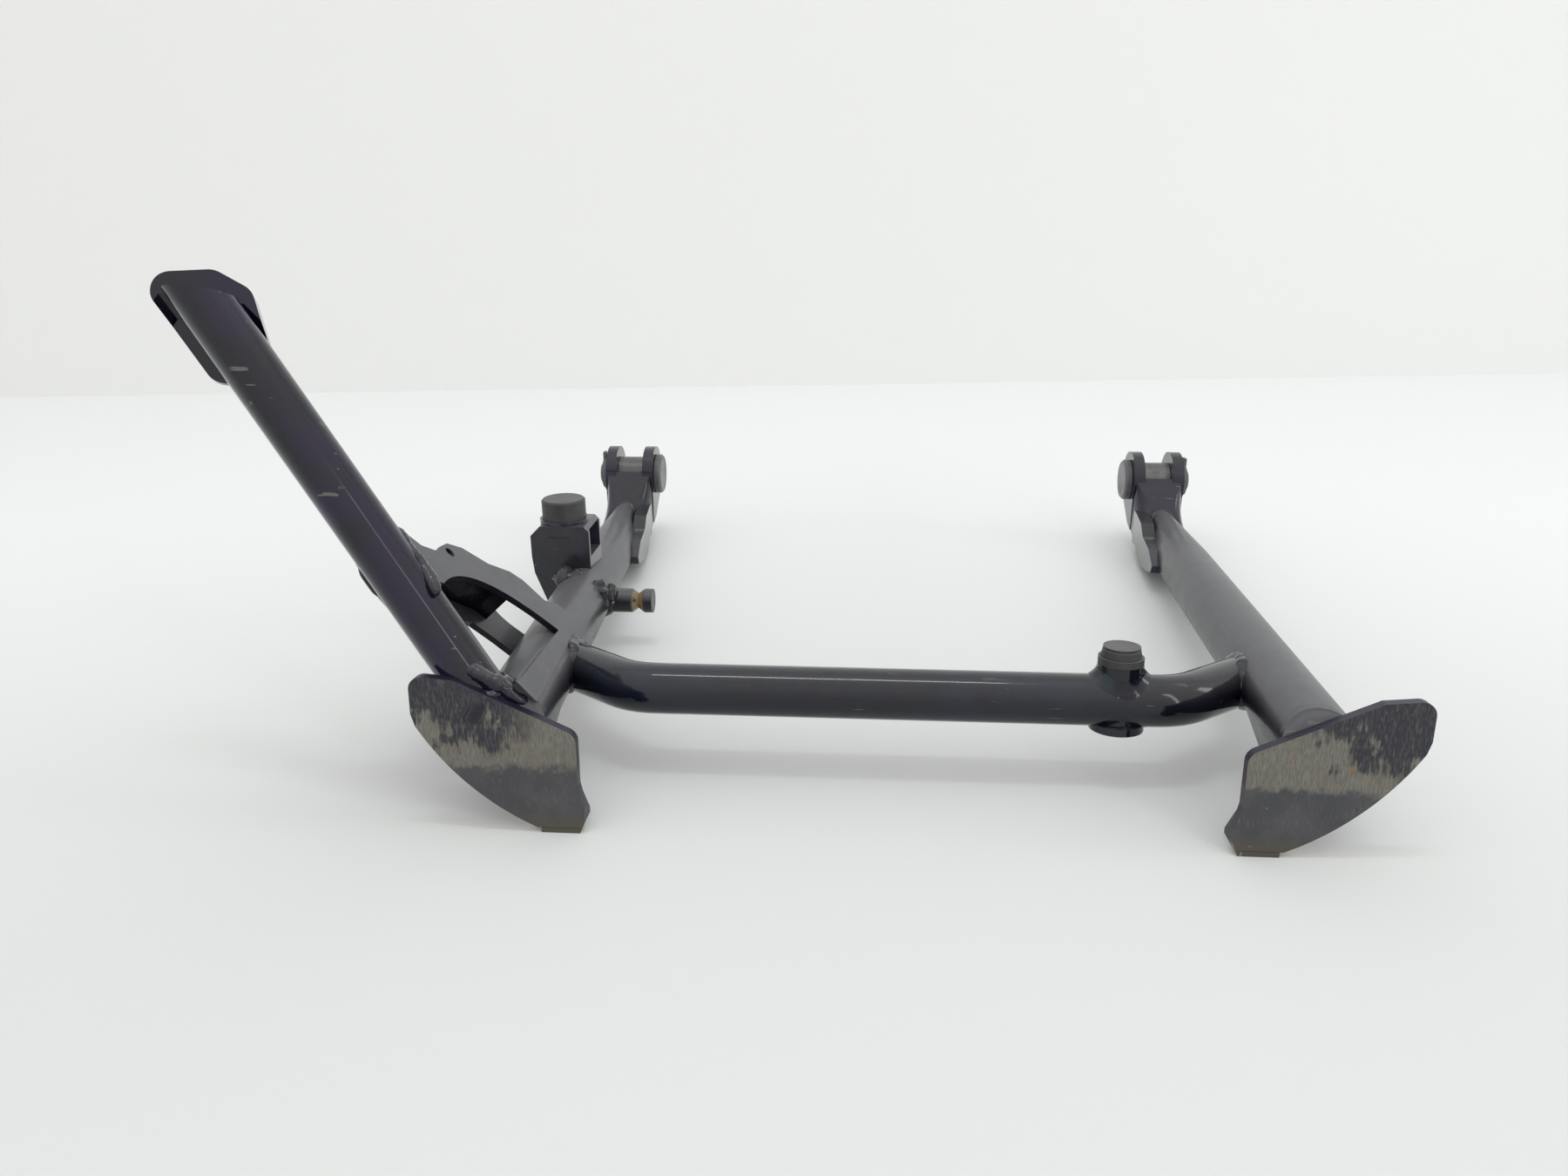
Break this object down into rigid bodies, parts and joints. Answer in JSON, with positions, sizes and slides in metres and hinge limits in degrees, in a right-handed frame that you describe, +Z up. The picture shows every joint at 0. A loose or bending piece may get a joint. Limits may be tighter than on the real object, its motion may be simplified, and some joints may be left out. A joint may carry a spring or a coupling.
{
  "type": "motorcycle centre stand",
  "caption": "Tubular centre stand with a kick arm and pedal, plate feet, pivot clevises with pins and distance bushes, a spring post and rubber stops.",
  "frame": {"origin": "middle of the pivot axis, halfway between the two clevises, with the stand lying flat", "axes": "+X along the pivot axis towards the side away from the kick arm, +Y from the feet towards the pivots, +Z up"},
  "size_m": [0.463, 0.3948, 0.196],
  "materials": {
    "frame_paint": "satin dark paint",
    "arm_paint": "gloss dark paint with a violet tint",
    "worn_steel": "paint worn through to scratched steel",
    "pin_steel": "grey painted steel",
    "bush_steel": "dull bare steel",
    "post_steel": "dark steel with a bare groove",
    "stop_rubber": "matt rubber"
  },
  "bodies": {
    "stand": {"leg_right": "frame_paint", "leg_left": "frame_paint", "cross_tube": "frame_paint", "stop_boss": "frame_paint", "clevis_right": "frame_paint", "clevis_left": "frame_paint", "kick_arm": "arm_paint", "pedal_plate": "arm_paint", "gusset_front": "frame_paint", "gusset_rear": "frame_paint", "stop_bracket": "frame_paint", "foot_rib_right": "frame_paint", "foot_rib_left": "frame_paint", "foot_sole_right": "worn_steel", "foot_sole_left": "worn_steel", "spring_post": "post_steel", "main_stop": "stop_rubber", "small_stop": "stop_rubber"},
    "pin_right": {"pivot_pin_right": "pin_steel", "washer_right": "pin_steel", "retaining_clip_right": "pin_steel"},
    "pin_left": {"pivot_pin_left": "pin_steel", "washer_left": "pin_steel", "retaining_clip_left": "pin_steel"},
    "bush_right": {"distance_bush_right": "bush_steel"},
    "bush_left": {"distance_bush_left": "bush_steel"}
  },
  "joints": [
    {"name": "pin_right_turn", "type": "hinge", "parent": "stand", "child": "pin_right", "pos_m": [0.1697, 0, 0], "axis": [1, 0, 0], "continuous": true},
    {"name": "pin_left_turn", "type": "hinge", "parent": "stand", "child": "pin_left", "pos_m": [-0.1697, 0, 0], "axis": [1, 0, 0], "continuous": true},
    {"name": "bush_right_turn", "type": "hinge", "parent": "pin_right", "child": "bush_right", "pos_m": [0.1697, 0, 0], "axis": [1, 0, 0], "continuous": true},
    {"name": "bush_left_turn", "type": "hinge", "parent": "pin_left", "child": "bush_left", "pos_m": [-0.1697, 0, 0], "axis": [1, 0, 0], "continuous": true}
  ]
}
